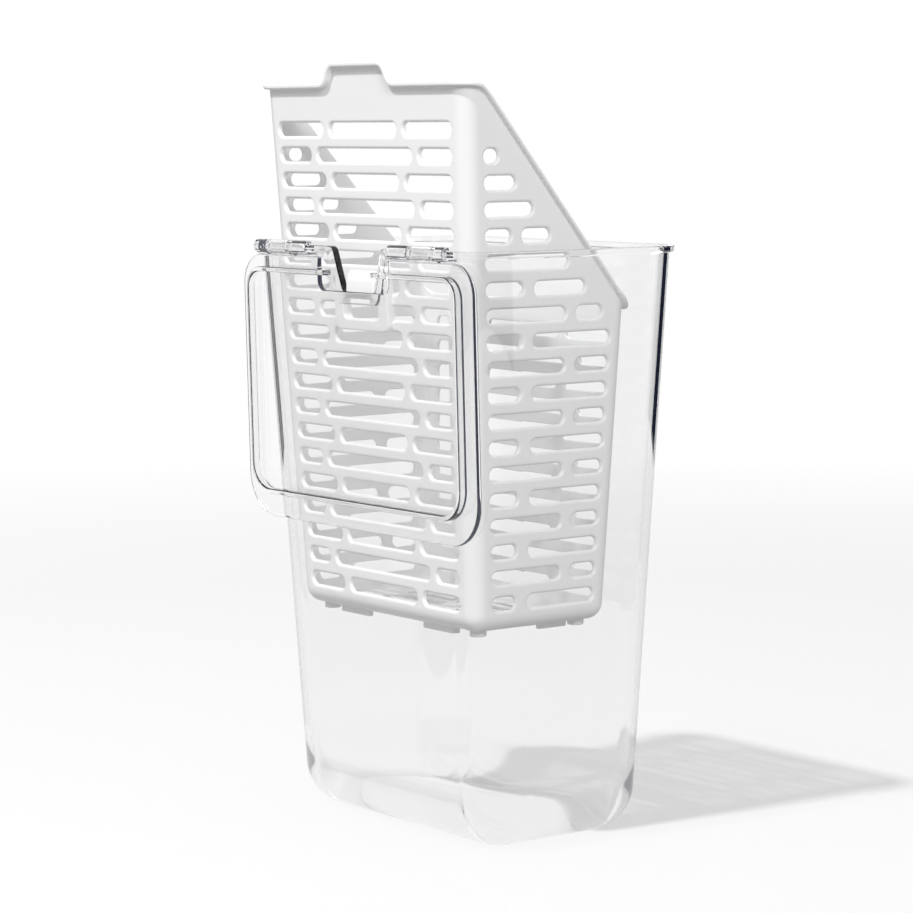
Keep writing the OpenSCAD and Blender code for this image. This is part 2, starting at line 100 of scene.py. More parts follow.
# ----------------------------------------------------------------- node trees
class Sum:
    """An output of a node, which Python sums turn into Math nodes."""

    def __init__(self, tree, socket):
        self.tree, self.socket = tree, socket

    def math(self, operation, *values):
        return self.tree.add("ShaderNodeMath", {"operation": operation}, dict(enumerate(values)))

    def __add__(self, other):
        return self.math("ADD", self, other)

    def __radd__(self, other):
        return self.math("ADD", other, self)

    def __sub__(self, other):
        return self.math("SUBTRACT", self, other)

    def __rsub__(self, other):
        return self.math("SUBTRACT", other, self)

    def __mul__(self, other):
        return self.math("MULTIPLY", self, other)

    def __rmul__(self, other):
        return self.math("MULTIPLY", other, self)

    def __truediv__(self, other):
        return self.math("DIVIDE", self, other)

    def __rtruediv__(self, other):
        return self.math("DIVIDE", other, self)

    def __mod__(self, other):
        return self.math("MODULO", self, other)

    def __gt__(self, other):
        return self.math("GREATER_THAN", self, other)

    def __lt__(self, other):
        return self.math("LESS_THAN", self, other)

    def least(self, other):
        return self.math("MINIMUM", self, other)

    def most(self, other):
        return self.math("MAXIMUM", self, other)

    def out(self, name):
        return Sum(self.tree, self.socket.node.outputs[name])


class Tree:
    """A node tree that is filled by calls."""

    def __init__(self, tree):
        self.tree = tree

    def add(self, kind, settings=None, values=None, out=None):
        """Adds a node. Its settings come first, then the values or links of its sockets."""
        node = self.tree.nodes.new(kind)
        for name, value in (settings or {}).items():
            setattr(node, name, value)
        for name, value in (values or {}).items():
            socket = node.inputs[name]
            if isinstance(value, list):
                for one in value:
                    self.tree.links.new(one.socket, socket)
            elif isinstance(value, Sum):
                self.tree.links.new(value.socket, socket)
            else:
                socket.default_value = value
        if not node.outputs:
            return node
        if out is not None:
            return Sum(self, node.outputs[out])
        return Sum(self, next(s for s in node.outputs if s.enabled))


# --------------------------------------------------------------- mesh helpers
def mesh_object(name, bm):
    """A mesh in millimetres as an object in metres, with outward faces."""
    bmesh.ops.remove_doubles(bm, verts=bm.verts, dist=SAME_POINT)
    bmesh.ops.recalc_face_normals(bm, faces=bm.faces)
    if bm.calc_volume(signed=True) < 0:
        bmesh.ops.reverse_faces(bm, faces=bm.faces)
    bmesh.ops.scale(bm, vec=(MM, MM, MM), verts=bm.verts)
    mesh = bpy.data.meshes.new(name)
    bm.to_mesh(mesh)
    bm.free()
    obj = bpy.data.objects.new(name, mesh)
    bpy.context.collection.objects.link(obj)
    return obj


def rings_mesh(name, rings, flat_walls=False):
    """Rings of points joined in order into a closed shell, with both end rings filled."""
    bm = bmesh.new()
    made = [[bm.verts.new(p) for p in ring] for ring in rings]
    count = len(made[0])
    for low, high in zip(made, made[1:]):
        for k in range(count):
            n = (k + 1) % count
            bm.faces.new((low[k], low[n], high[n], high[k]))
    for ring in (made[0], made[-1]):
        bm.faces.new([v for k, v in enumerate(ring) if (v.co - ring[k - 1].co).length > SAME_POINT])
    bmesh.ops.remove_doubles(bm, verts=bm.verts, dist=SAME_POINT)
    if flat_walls:
        bmesh.ops.dissolve_limit(bm, angle_limit=FLAT, verts=bm.verts, edges=bm.edges)
    return mesh_object(name, bm)


def settled(obj):
    """obj with its modifiers worked into a plain mesh."""
    bpy.context.view_layer.update()
    graph = bpy.context.evaluated_depsgraph_get()
    mesh = bpy.data.meshes.new_from_object(
        obj.evaluated_get(graph), preserve_all_data_layers=True, depsgraph=graph
    )
    obj.modifiers.clear()
    obj.data = mesh
    return obj


def boolean(obj, other, operation):
    """Joins other to obj or cuts it away, and removes other."""
    cut = obj.modifiers.new(operation, "BOOLEAN")
    cut.operation, cut.solver, cut.object = operation, "EXACT", other
    settled(obj)
    bpy.data.objects.remove(other)


def softened(obj, width, segments, angle=None):
    """Rounds a moulding's edges sharper than angle, or with no angle those that carry a weight."""
    bevel = obj.modifiers.new("moulded edges", "BEVEL")
    bevel.width, bevel.segments = width * MM, segments
    bevel.limit_method = "WEIGHT" if angle is None else "ANGLE"
    if angle is not None:
        bevel.angle_limit = math.radians(angle)
    bevel.use_clamp_overlap = False
    settled(obj)


def shaded(obj, sharp_over=42, flat_first=60):
    """Smooth shading that keeps sharp edges crisp and large faces flat."""
    obj.data.shade_smooth()
    obj.data.set_sharp_from_angle(angle=math.radians(sharp_over))
    weighted = obj.modifiers.new("even shading", "WEIGHTED_NORMAL")
    weighted.keep_sharp = True
    weighted.weight = flat_first
    settled(obj)


def arc(cx, cy, radius, first, last, steps):
    """Points on an arc between two angles in degrees, both ends included."""
    angles = (math.radians(first + (last - first) * k / steps) for k in range(steps + 1))
    return [(cx + radius * math.cos(a), cy + radius * math.sin(a)) for a in angles]


def rounded_outline(half, low, high, r_low, r_high, steps):
    """A rectangle that is even left and right, with round corners."""
    points = []
    for cx, cy, r, first in (
        (half - r_low, low + r_low, r_low, -90),
        (half - r_high, high - r_high, r_high, 0),
        (-half + r_high, high - r_high, r_high, 90),
        (-half + r_low, low + r_low, r_low, 180),
    ):
        points += arc(cx, cy, r, first, first + 90, steps)
    return points


def quarter(radius, steps):
    """Points of a quarter round: how far in, how far along, from 0 to radius."""
    return [
        (radius * (1 - math.cos(a)), radius * (1 - math.sin(a)))
        for a in (math.pi / 2 * k / steps for k in range(steps + 1))
    ]


def slab(name, outline, low, high, radius, place):
    """An outline given thickness, with both edges rounded. place turns (x, y, height) into a point."""
    count = len(outline)
    mitre_least, small_round = 0.3, 0.8

    def inset(d):
        ring = []
        for k in range(count):
            before, here, after = (Vector(outline[j % count]) for j in (k - 1, k, k + 1))
            a, b = (here - before).normalized(), (after - here).normalized()
            na, nb = Vector((-a.y, a.x)), Vector((-b.y, b.x))
            n = (na + nb).normalized()
            ring.append(here + n * d / max(n.dot(na), mitre_least))
        return ring

    bend = quarter(radius, 3 if radius < small_round else 6)
    levels = [(into, low + along) for along, into in bend]
    levels += [(into, high - along) for along, into in reversed(bend)]
    return rings_mesh(name, [[place(p.x, p.y, level) for p in inset(into)] for into, level in levels])


def lathe(name, profile, start_x):
    """A closed ring of (along, radius) points turned about the hinge line."""
    bm = bmesh.new()
    turns = []
    for k in range(BARREL_STEPS):
        a = 2 * math.pi * k / BARREL_STEPS
        y, z = math.cos(a), math.sin(a)
        turns.append([bm.verts.new((start_x + x, HINGE_Y + r * y, HINGE_Z + r * z)) for x, r in profile])
    count = len(profile)
    for k in range(BARREL_STEPS):
        one, two = turns[k], turns[(k + 1) % BARREL_STEPS]
        for j in range(count):
            n = (j + 1) % count
            bm.faces.new((one[j], one[n], two[n], two[j]))
    return mesh_object(name, bm)


def rod(name, a, b, radius):
    """A solid round rod on the hinge line, from a to b."""
    turns = [2 * math.pi * k / BARREL_STEPS for k in range(BARREL_STEPS)]
    ends = [
        [Vector((x, HINGE_Y + radius * math.cos(t), HINGE_Z + radius * math.sin(t))) for t in turns]
        for x in (a, b)
    ]
    return rings_mesh(name, ends)


def rounded_box(name, low, high, radius):
    """A box whose edges are rounded."""
    bm = bmesh.new()
    bmesh.ops.create_cube(bm, size=1.0)
    for v in bm.verts:
        v.co = Vector([(l + h) / 2 + c * (h - l) for c, l, h in zip(v.co, low, high)])
    bmesh.ops.bevel(bm, geom=list(bm.edges), offset=radius, segments=3, profile=0.5, affect="EDGES")
    return mesh_object(name, bm)


# --------------------------------------------------------------- tapered tubs
class Tub:
    """The walls of a tapered tub: half width, front and back at a height, and round corners."""

    def __init__(self, half, front, back, corner):
        self.half, self.front, self.back, self.r = half, front, back, corner

    def at(self, side, value, z, inset=0.0, level=None):
        """The point on one side, at a share of it or at an angle of a corner, set in from the wall.
        The walls are taken at the height level, where it isn't z.
        """
        zz = z if level is None else level
        w, yf, yb = self.half(zz) - self.r, self.front(zz) + self.r, self.back(zz) - self.r
        reach = self.r - inset
        if side == "front":
            return Vector((value * w, yf - reach, z))
        if side == "back":
            return Vector((value * w, yb + reach, z))
        if side in ("right", "left"):
            x = w + reach if side == "right" else -w - reach
            return Vector((x, yf + (yb - yf) * value, z))
        sx, sy, angle = value
        y = (yf if sy < 0 else yb) + reach * math.sin(angle)
        return Vector((sx * w + reach * math.cos(angle), y, z))

    def front_place(self, x, z):
        return ("front", x / (self.half(z) - self.r), z)


def round_the_corners(front, right, back, left, steps, place):
    """All columns of a tub: those of its sides, and between them those of its corners."""
    columns = []
    for side, sx, sy, first in (
        (front, 1, -1, -math.pi / 2), (right, 1, 1, 0.0), (back, -1, 1, math.pi / 2), (left, -1, -1, math.pi),
    ):
        columns += side
        columns += [place("corner", (sx, sy, first + math.pi / 2 * k / steps)) for k in range(1, steps)]
    return columns


def tub_shell(name, tub, columns, wall, foot, lip_step, lip_round, arcs, bend=None, flat_walls=False):
    """A one-piece tub. Each column is (top place, lip foot place, how far the lip stands out),
    where a place is (side, value, z). foot is the height at which the round bottom edge starts,
    and bend is how high that edge reaches on the inside.
    """
    outer, inner = tub.r, tub.r - wall
    quarters = [math.pi / 2 * k / arcs for k in range(arcs + 1)]
    rings = []
    for a in reversed(quarters):  # inside of the bottom edge
        z = foot - inner + (bend or inner) * (1 - math.sin(a))
        inset, level = outer - inner * math.cos(a), max(z, foot)
        rings.append([tub.at(s, v, z, inset, level) for _, (s, v, _), _ in columns])

    def band(inset, down=None, up=0.0):
        """The ring some way down from the top, or else up from the lip's foot."""
        ring = []
        for (s0, v0, z0), (s1, v1, z1), stand in columns:
            p, q = tub.at(s0, v0, z0, inset(stand)), tub.at(s1, v1, z1, inset(stand))
            along = q - p
            share = 1 - up / along.length if down is None else down / along.length
            ring.append(p + along * min(max(share, 0.0), 1.0))
        return ring

    edge = quarter(lip_round, 3)
    rings.append(band(lambda stand: wall))
    rings += [band(lambda stand: wall - into, down=along) for into, along in edge]
    rings += [band(lambda stand: into - stand, down=along) for into, along in reversed(edge)]
    rings += [band(lambda stand: into - stand, up=along) for into, along in edge]
    rings.append(band(lambda stand: -lip_step))
    rings.append([tub.at(s, v, z - lip_step) for _, (s, v, z), _ in columns])
    for a in quarters:  # outside of the bottom edge
        z, inset = foot - outer * math.sin(a), outer - outer * math.cos(a)
        rings.append([tub.at(s, v, z, inset, foot) for _, (s, v, _), _ in columns])
    return rings_mesh(name, rings, flat_walls)


# ------------------------------------------------------------------ container
container_tub = Tub(
    lambda z: (MOUTH_W - TAPER * (1 - z / TALL)) / 2,
    lambda z: -(MOUTH_D - TAPER * (1 - z / TALL)) / 2,
    lambda z: (MOUTH_D - TAPER * (1 - z / TALL)) / 2,
    CORNER,
)

# half of the notch: edge (x, z), foot of its bead (x, z), how far the bead stands out
NOTCH_EDGE = [
    ((26.0, TALL), (26.0, TALL - RIM_H), RIM_OUT),
    ((22.0, TALL), (22.6, TALL - RIM_H), RIM_OUT),
    ((19.6, TALL), (21.2, TALL - RIM_H - 0.2), 1.55),
    ((17.9, TALL - 0.2), (20.5, 236.6), 1.15),
    ((16.9, TALL - 0.9), (20.0, 235.2), 0.85),
    ((16.1, TALL - 2.4), (19.4, 232.9), BEAD_OUT),
    ((13.9, 230.9), (17.9, 227.6), BEAD_OUT),
    ((11.7, 224.6), (16.0, 221.3), BEAD_OUT),
    ((11.2, 223.1), (15.4, 219.4), BEAD_OUT),
    ((10.4, 222.1), (14.3, 217.9), BEAD_OUT),
    ((9.2, SILL), (12.6, 217.1), BEAD_OUT),
    ((4.6, SILL), (5.4, 217.1), BEAD_OUT),
    ((0.0, SILL), (0.0, 217.1), BEAD_OUT),
]


def container_columns():
    tub = container_tub
    half = [(tub.front_place(-x, z), tub.front_place(-xw, zw), out) for (x, z), (xw, zw), out in NOTCH_EDGE]
    mirrored = [((s, -v, z), (sw, -vw, zw), out) for (s, v, z), (sw, vw, zw), out in reversed(half[:-1])]

    def plain(side, value):
        return ((side, value, TALL), (side, value, TALL - RIM_H), RIM_OUT)

    def sides(side, *values):
        return [plain(side, v) for v in values]

    front = sides("front", -1.0, -0.7) + half + mirrored + sides("front", 0.7, 1.0)
    right, left = sides("right", 0.0, 0.5, 1.0), sides("left", 1.0, 0.5, 0.0)
    back = sides("back", 1.0, 0.0, -1.0)
    return round_the_corners(front, right, back, left, CONTAINER_CORNER_STEPS, plain)


def hinge_lug(a, b):
    """Most of a barrel on a root that grows out of the flange."""
    outline = arc(0, 0, BARREL, 180, 285, 7) + LUG_ROOT + arc(0, 0, BARREL, 70, 175, 7)
    return slab("lug", outline, a, b, LUG_EDGE, lambda y, z, x: (x, HINGE_Y + y, HINGE_Z + z))


def container_moulding():
    body = tub_shell(
        "container_moulding", container_tub, container_columns(), CLEAR_WALL, CORNER, RIM_STEP, RIM_ROUND,
        arcs=10, bend=BASE_BEND,
    )
    inner_end, outer_end = KNUCKLE_A - SIDE_PLAY, KNUCKLE_B + SIDE_PLAY
    for s in (-1, 1):
        a, b = sorted((s * inner_end, s * outer_end))
        boolean(body, rod("relief", a, b, BARREL + RELIEF), "DIFFERENCE")
        for lug in ((LUG_IN, inner_end), (outer_end, LUG_OUT)):
            boolean(body, hinge_lug(*sorted(s * x for x in lug)), "UNION")
        boolean(body, rod("pin", a - PIN_SUNK, b + PIN_SUNK, PIN), "UNION")
    return body


# ------------------------------------------------------------------------ lid
def lid_place(x, y, h):
    """h is the height over the plane of the hinge line, away from the container's wall."""
    turned = Matrix.Rotation(LEAN, 3, "X") @ Vector((x, -h, y))
    return turned + Vector((0, HINGE_Y, HINGE_Z))


def top_right(points, high):
    """The number of the first point right of the middle on the near edge."""
    return next(k for k, (x, y) in enumerate(points) if x > 0 and abs(y - high) < SAME_POINT)


def open_ring(half, low, high, r_low, r_high):
    """The ring's outline from the notch's left end round to its right end."""
    points = rounded_outline(half, low, high, r_low, r_high, LID_CORNER_STEPS)
    split = top_right(points, high) + 1
    ordered = points[split:] + points[:split]
    y = ordered[0][1]
    return [(-RING_END, y)] + ordered + [(RING_END, y)]


def lid_moulding():
    outline, near = rounded_outline(*LID_OUTLINE, LID_CORNER_STEPS), LID_OUTLINE[2]
    notch = [(LID_NOTCH, near)]
    notch += arc(LID_NOTCH - LID_NOTCH_R, LID_NOTCH_END + LID_NOTCH_R, LID_NOTCH_R, 0, -90, 6)
    notch += [(-x, y) for x, y in reversed(notch)]
    split = top_right(outline, near) + 1
    outline = outline[:split] + notch + outline[split:]
    plate = slab("lid_moulding", outline, LID_LOW, LID_HIGH, LID_EDGE, lid_place)

    half, low, high, r_low, r_high = RING_OUTLINE
    w = RING_WALL
    inner = open_ring(half - w, low + w, high - w, r_low - w, r_high - w)
    outline = open_ring(*RING_OUTLINE) + inner[::-1]
    boolean(plate, slab("ring", outline, RING_LOW, RING_HIGH, RING_EDGE, lid_place), "UNION")

    length, r, e, m = KNUCKLE_B - KNUCKLE_A, BARREL, KNUCKLE_EDGE, KNUCKLE_ROUND
    end = [(0, PIN + PLAY), (0, r - e), (m, r - m), (e, r)]
    profile = end + [(length - x, radius) for x, radius in reversed(end)]
    for start in (-KNUCKLE_B, KNUCKLE_A):
        web = slab(
            "web", WEB, start + WEB_SHORT, start + length - WEB_SHORT, WEB_EDGE,
            lambda y, z, x: lid_place(x, z, WEB_MIDDLE - y),
        )
        boolean(plate, web, "UNION")
        boolean(plate, lathe("knuckle", profile, start), "UNION")
    return plate


# --------------------------------------------------------------------- basket
basket_tub = Tub(
    lambda z: BK_HALF - BK_SX * (BK_TOP - z),
    lambda z: -BK_FRONT + BK_SY * (BK_TOP - z),
    lambda z: BK_BACK - BK_SY * (BK_TOP - z),
    BK_R,
)

# half of the finger tab: across, and height over the front wall
TAB = [
    (29.0, 0.0), (26.6, 0.0), (25.0, 0.1), (23.8, 0.5), (22.8, 1.2), (22.0, 2.2), (21.4, 3.3), (20.8, 4.5),
    (20.1, 5.7), (19.2, 6.8), (18.1, 7.7), (16.8, 8.25), (15.2, 8.4), (12.0, 8.4), (6.0, 8.4), (0.0, 8.4),
]

# columns along the side walls, closer together where the sloping edge bends
SIDE_SHARES = [0.0, 0.01, 0.02, 0.035, 0.055, 0.08, 0.12, 0.3, 0.5, 0.7, 0.85, 0.93, 0.97, 1.0]


def soft_step(u, width):
    """0 before u = 0 and u after it, with a soft bend between."""
    return width * math.log1p(math.exp(max(min(u / width, 60), -60)))


def edge_height(y):
    """Height of the basket's sloping top edge at a depth."""
    fall = soft_step(y - SLOPE_FRONT, SLOPE_BEND_FRONT) - soft_step(y - SLOPE_BACK, SLOPE_BEND_BACK)
    return BK_TOP - SLOPE_K * fall


def basket_columns():
    tub = basket_tub
    points = [(-x, BK_TOP + h) for x, h in TAB] + [(x, BK_TOP + h) for x, h in reversed(TAB[:-1])]
    tab = []
    for k, (x, z) in enumerate(points):
        before, after = Vector(points[max(k - 1, 0)]), Vector(points[min(k + 1, len(points) - 1)])
        t = (after - before).normalized()
        down = Vector((t.y, -t.x)) * FLANGE_T
        tab.append((tub.front_place(x, z), tub.front_place(x + down.x, z + down.y), FLANGE_OUT))

    def settle(side, value):
        """The column whose top is on the sloping edge, found in small steps as the wall leans."""
        z = BK_TOP
        for _ in range(30):
            z = edge_height(tub.at(side, value, z).y)
        return ((side, value, z), (side, value, z - FLANGE_T), FLANGE_OUT)

    def sides(side, values):
        return [settle(side, v) for v in values]

    front = sides("front", (-1.0, -0.75)) + tab + sides("front", (0.75, 1.0))
    right, left = sides("right", SIDE_SHARES), sides("left", SIDE_SHARES[::-1])
    back = sides("back", (1.0, 0.0, -1.0))
    return round_the_corners(front, right, back, left, BASKET_CORNER_STEPS, settle)


def slots_tree():
    """Cuts the rows of obround slots out of the basket's shell."""
    group = bpy.data.node_groups.new("rows of slots", "GeometryNodeTree")
    face = group.interface
    face.new_socket("Geometry", in_out="OUTPUT", socket_type="NodeSocketGeometry")
    face.new_socket("Geometry", in_out="INPUT", socket_type="NodeSocketGeometry")
    sizes = {
        "Rows": ROWS, "Row pitch": ROW_PITCH, "Slot height": SLOT_H, "First row": FIRST_ROW,
        "End inset": ROW_INSET, "Basket top": BK_TOP, "Half width": BK_HALF, "Front": BK_FRONT,
        "Back": BK_BACK, "Width taper": BK_SX, "Depth taper": BK_SY, "Slope start": SLOPE_FRONT,
        "Slope drop": SLOPE_K, "Slope clearance": SLOPE_CLEAR,
    }
    for name, value in sizes.items():
        kind = "NodeSocketInt" if name == "Rows" else "NodeSocketFloat"
        face.new_socket(name, in_out="INPUT", socket_type=kind).default_value = value
    face.new_socket("Material", in_out="INPUT", socket_type="NodeSocketMaterial")
    t = Tree(group)
    given = t.add("NodeGroupInput", out=0)
    g = {name: given.out(name) for name in sizes}
    radius = g["Slot height"] / 2
    index = t.add("GeometryNodeInputIndex")
    place = t.add("ShaderNodeSeparateXYZ", values={0: t.add("GeometryNodeInputPosition")})

    def named(name):
        return t.add("GeometryNodeInputNamedAttribute", {"data_type": "FLOAT"}, {"Name": name})

    def store(geometry, name, value, domain="POINT"):
        return t.add(
            "GeometryNodeStoreNamedAttribute", {"data_type": "FLOAT", "domain": domain},
            {"Geometry": geometry, "Name": name, "Value": value},
        )

    def line(count, start, step):
        return t.add("GeometryNodeMeshLine", values={"Count": count, "Start Location": start, "Offset": step})

    def xyz(x, y, z):
        return t.add("ShaderNodeCombineXYZ", values={0: x, 1: y, 2: z})

    def moved(geometry, rotation=(0, 0, 0), move=(0, 0, 0), scale=(1, 1, 1)):
        return t.add(
            "GeometryNodeTransform",
            values={"Geometry": geometry, "Rotation": rotation, "Translation": move, "Scale": scale},
        )

    def all_of(*parts):
        return t.add("GeometryNodeJoinGeometry", values={0: list(parts)})

    cutter_sides = 24
    half_step = math.pi / cutter_sides

    def cutters(points, start, end, keep, reach):
        """Obround cutters along X from start to end, which reach through a wall along Y."""
        points = store(store(points, "from", start), "to", end)
        shape = t.add(
            "GeometryNodeMeshCylinder",
            values={"Vertices": cutter_sides, "Radius": radius, "Depth": 2.0 * reach}, out="Mesh",
        )
        shape = moved(moved(shape, (0, 0, half_step)), (math.pi / 2, 0, 0))
        shape = store(shape, "side", place.math("SIGN", place))
        set_out = t.add(
            "GeometryNodeInstanceOnPoints", values={"Points": points, "Selection": keep, "Instance": shape}
        )
        real = t.add("GeometryNodeRealizeInstances", values={"Geometry": set_out})
        right = named("side") > 0.0
        shift = right * (named("to") - radius) + (1 - right) * (named("from") + radius)
        return t.add("GeometryNodeSetPosition", values={"Geometry": real, "Offset": xyz(shift, 0.0, 0.0)})

    rows = line(g["Rows"], xyz(0.0, 0.0, g["First row"] + radius), xyz(0.0, 0.0, 0 - g["Row pitch"]))
    below = g["Basket top"] - (place.out("Z") - radius)  # lower edge of a row, down from the basket's top
    every, odd = index > -1.0, index % 2
    end = g["Half width"] - g["Width taper"] * below - g["End inset"]
    middle, outer = MIDDLE_END + odd * ROW_STAGGER, OUTER_START + odd * ROW_STAGGER

    def face_rows(keep, reach):
        return all_of(
            cutters(rows, 0 - middle, middle, keep, reach),
            cutters(rows, outer, end, keep, reach),
            cutters(rows, 0 - end, 0 - outer, keep, reach),
        )

    front = moved(face_rows(every, FRONT_REACH), move=(0, FRONT_AT, 0))
    back = moved(face_rows(index > FIRST_BACK_ROW - 0.5, BACK_REACH), move=(0, BACK_AT, 0))
    # side rows, which keep clear of the sloping edge and are split in two where both parts are long enough
    first = 0 - g["Front"] + g["Depth taper"] * below + g["End inset"]
    last = (g["Back"] - g["Depth taper"] * below - g["End inset"] + SIDE_BACK_LONGER).least(
        g["Slope start"] + (below - g["Slot height"]) / g["Slope drop"] - g["Slope clearance"]
    )
    fifth = (index > 3.5) * (index < 4.5)
    split = (1 - odd) * (SIDE_SPLIT_EVEN - fifth * SIDE_SPLIT_FIFTH) + odd * SIDE_SPLIT_ODD
    again = split + SIDE_WEB
    two = last > (again + SIDE_SHORTEST)
    used = index > 0.5
    sides = all_of(
        cutters(rows, first, two * split + (1 - two) * last, used, SIDE_REACH),
        cutters(rows, again, last, used * two, SIDE_REACH),
    )
    sides = moved(sides, (0, 0, math.pi / 2))
    # drain slots in the floor
    drains = line(DRAINS, (0.0, 0.0, DRAIN_FIRST), (0.0, 0.0, DRAIN_PITCH))
    shift = DRAIN_MIDDLE + odd * DRAIN_STAGGER
    drains = all_of(
        cutters(drains, shift - DRAIN_HALF, shift + DRAIN_HALF, every, DRAIN_REACH),
        cutters(drains, -DRAIN_HALF - shift, DRAIN_HALF - shift, every, DRAIN_REACH),
    )
    drains = moved(drains, (-math.pi / 2, 0, 0), (0, 0, BK_BOTTOM + BK_WALL / 2))
    # where the pad of the hook goes through the front wall
    size = (2 * PLUG_HALF, PLUG_DEEP, PLUG_HIGH - PLUG_LOW)
    plug = t.add("GeometryNodeMeshCube", values={"Size": size}, out="Mesh")
    plug = moved(plug, move=(0, PLUG_AT, (PLUG_LOW + PLUG_HIGH) / 2))
    slots = moved(all_of(front, back, sides, drains), scale=(MM, MM, MM))
    plug = moved(plug, scale=(MM, MM, MM))
    cut = t.add(
        "GeometryNodeMeshBoolean", {"operation": "DIFFERENCE", "solver": "EXACT"},
        {0: given.out("Geometry"), 1: [slots, plug], "Self Intersection": True},
    )
    edged = store(cut, "bevel_weight_edge", cut.out("Intersecting Edges"), "EDGE")
    whole = t.add("GeometryNodeRealizeInstances", values={"Geometry": edged})
    whole = t.add("GeometryNodeSetMaterial", values={"Geometry": whole, "Material": given.out("Material")})
    t.add("NodeGroupOutput", values={0: whole})
    return group, {s.name: s.identifier for s in face.items_tree if s.in_out == "INPUT"}, sizes


def hook_pad():
    """The raised pad on the front wall, its window, and the ledge that sits on the notch's sill."""
    tilt = math.atan(TAPER / 2 / TALL)

    def pad_place(x, z, out):
        """out is measured outwards from the plane just inside the container's wall."""
        p = Matrix.Rotation(tilt, 3, "X") @ Vector((x, CLEAR_WALL + PAD_GAP - out, z))
        return p + Vector((0, -(MOUTH_D - TAPER) / 2, 0))

    outline = rounded_outline(PAD_HALF, PAD_LOW, PAD_HIGH, PAD_R, PAD_R_TOP, PAD_CORNER_STEPS)
    pad = slab("pad", outline, -PAD_THICK, 0.0, PAD_EDGE, pad_place)
    outline = rounded_outline(
        WINDOW_HALF, WINDOW_LOW, WINDOW_LOW + WINDOW_H, WINDOW_R, WINDOW_R, PAD_CORNER_STEPS
    )
    boolean(pad, slab("window", outline, WINDOW_INNER, WINDOW_OUTER, 0.01, pad_place), "DIFFERENCE")
    softened(pad, PAD_EDGE, 3, angle=60)

    wall = container_tub.front(SILL)
    nose = ((3.2, 9.4), (2.1, 9.0), (1.0, 7.9), (0.2, 6.2), (-0.2, 4.4), (-0.3, 1.0), (-0.3, 0.0))
    outline = [(LEDGE_INNER, SILL), (LEDGE_INNER, SILL + nose[0][1])]
    outline += [(wall + y, SILL + z) for y, z in nose]
    ledge = slab("ledge", outline, -LEDGE_HALF, LEDGE_HALF, LEDGE_EDGE, lambda y, z, x: (x, y, z))
    return [pad, ledge]


def basket_feet():
    """Round feet at the corners and ribs between them, all under the basket's floor."""
    feet = []
    front, back = basket_tub.front(BK_BOTTOM), basket_tub.back(BK_BOTTOM)
    low, high = BK_BOTTOM - FOOT_DOWN, BK_BOTTOM + FOOT_UP
    for s in (-1, 1):
        x, foot_x = s * RIB_X, s * FOOT_X
        for a, b, c, d in (
            (x - RIB_HALF, front + RIB_FROM, x + RIB_HALF, front + RIB_TO),
            (x - RIB_HALF, back - RIB_TO, x + RIB_HALF, back - RIB_FROM),
            (foot_x - SIDE_RIB_HALF, SIDE_RIB_FROM, foot_x + SIDE_RIB_HALF, SIDE_RIB_TO),
        ):
            feet.append(rounded_box("foot rib", (a, b, low), (c, d, high), RIB_EDGE))
        for y in (front + FOOT_IN, back - FOOT_IN):
            outline = arc(foot_x, y, FOOT_R, 0, 345, 23)
            feet.append(slab("foot", outline, low, high, FOOT_EDGE, lambda x, y, z: (x, y, z)))
    return feet


def joined(base, others):
    """One object that holds all these meshes."""
    bm = bmesh.new()
    for obj in [base] + others:
        bm.from_mesh(obj.data)
    bm.to_mesh(base.data)
    bm.free()
    for obj in others:
        bpy.data.objects.remove(obj)
    return base


def basket_moulding(material):
    tub = basket_tub
    body = tub_shell(
        "basket_moulding", tub, basket_columns(), BK_WALL, BK_BOTTOM + BK_R, FLANGE_STEP, FLANGE_ROUND,
        arcs=6, flat_walls=True,
    )
    body.data.materials.append(material)
    group, sockets, sizes = slots_tree()
    rows = body.modifiers.new("rows of slots", "NODES")
    rows.node_group = group
    for name, value in sizes.items():
        rows[sockets[name]] = value
    rows[sockets["Material"]] = material
    settled(body)
    # the slots' rims are rounded more on the outside of the walls than on the inside
    mesh, near = body.data, 0.01
    weights = mesh.attributes["bevel_weight_edge"].data
    for edge in mesh.edges:
        if weights[edge.index].value > 0.5:
            a, b = (mesh.vertices[k].co / MM for k in edge.vertices)
            x, y, z = (a + b) / 2
            proud = max(abs(x) - tub.half(z), tub.front(z) - y, y - tub.back(z), BK_BOTTOM - z)
            outside = proud > -BK_WALL / 2
            of_plug = y < 0 and abs(x) < PLUG_HALF + near and PLUG_LOW - near < z < PLUG_HIGH + near
            weights[edge.index].value = 0.0 if of_plug else 1.0 if outside else SLOT_ROUND_INSIDE
    softened(body, SLOT_ROUND, 4)
    return joined(body, hook_pad() + basket_feet())


# ------------------------------------------------------------------ materials
# clear plastic: the boxes in which light trapped in a wall takes a painted pale tint instead of a painted dark
# one, and the share of that pale tint in the base
HINGE_FROM_Z, HINGE_FROM_Y, HINGE_FROM_X, HINGE_TO_X = 235.5, -50.5, 27.0, 66.8
NOTCH_FROM_Z, NOTCH_FROM_Y, BASE_TO_Z, BASE_SHARE = SILL, -56.2, 34.0, 0.4
# how often light is mirrored, and how often it is turned in all, before it counts as trapped in a wall and
# takes a painted tint
MIRRORED_MOST, TURNED_MOST = 2.5, 9.5
# floor: it glows a little where it is looked at, and is plain white further off (m)
FLOOR_LIFT, WHITE_FROM, WHITE_FADE = 0.38, 0.7, 0.7
# dark surround: its wall, the half angle of the gap for the backdrop, and its pale cards
SURROUND_R, SURROUND_LOW, SURROUND_TALL, SURROUND_STEPS = 1100.0, 1.0, 900.0, 48
BACKDROP_TURN, BACKDROP_HALF = math.radians(143.3), math.radians(29.0)
CARD_TURNS, CARD_HALF = (math.radians(217), math.radians(37)), math.radians(24)


def grey(level):
    return (level, level, level, 1)


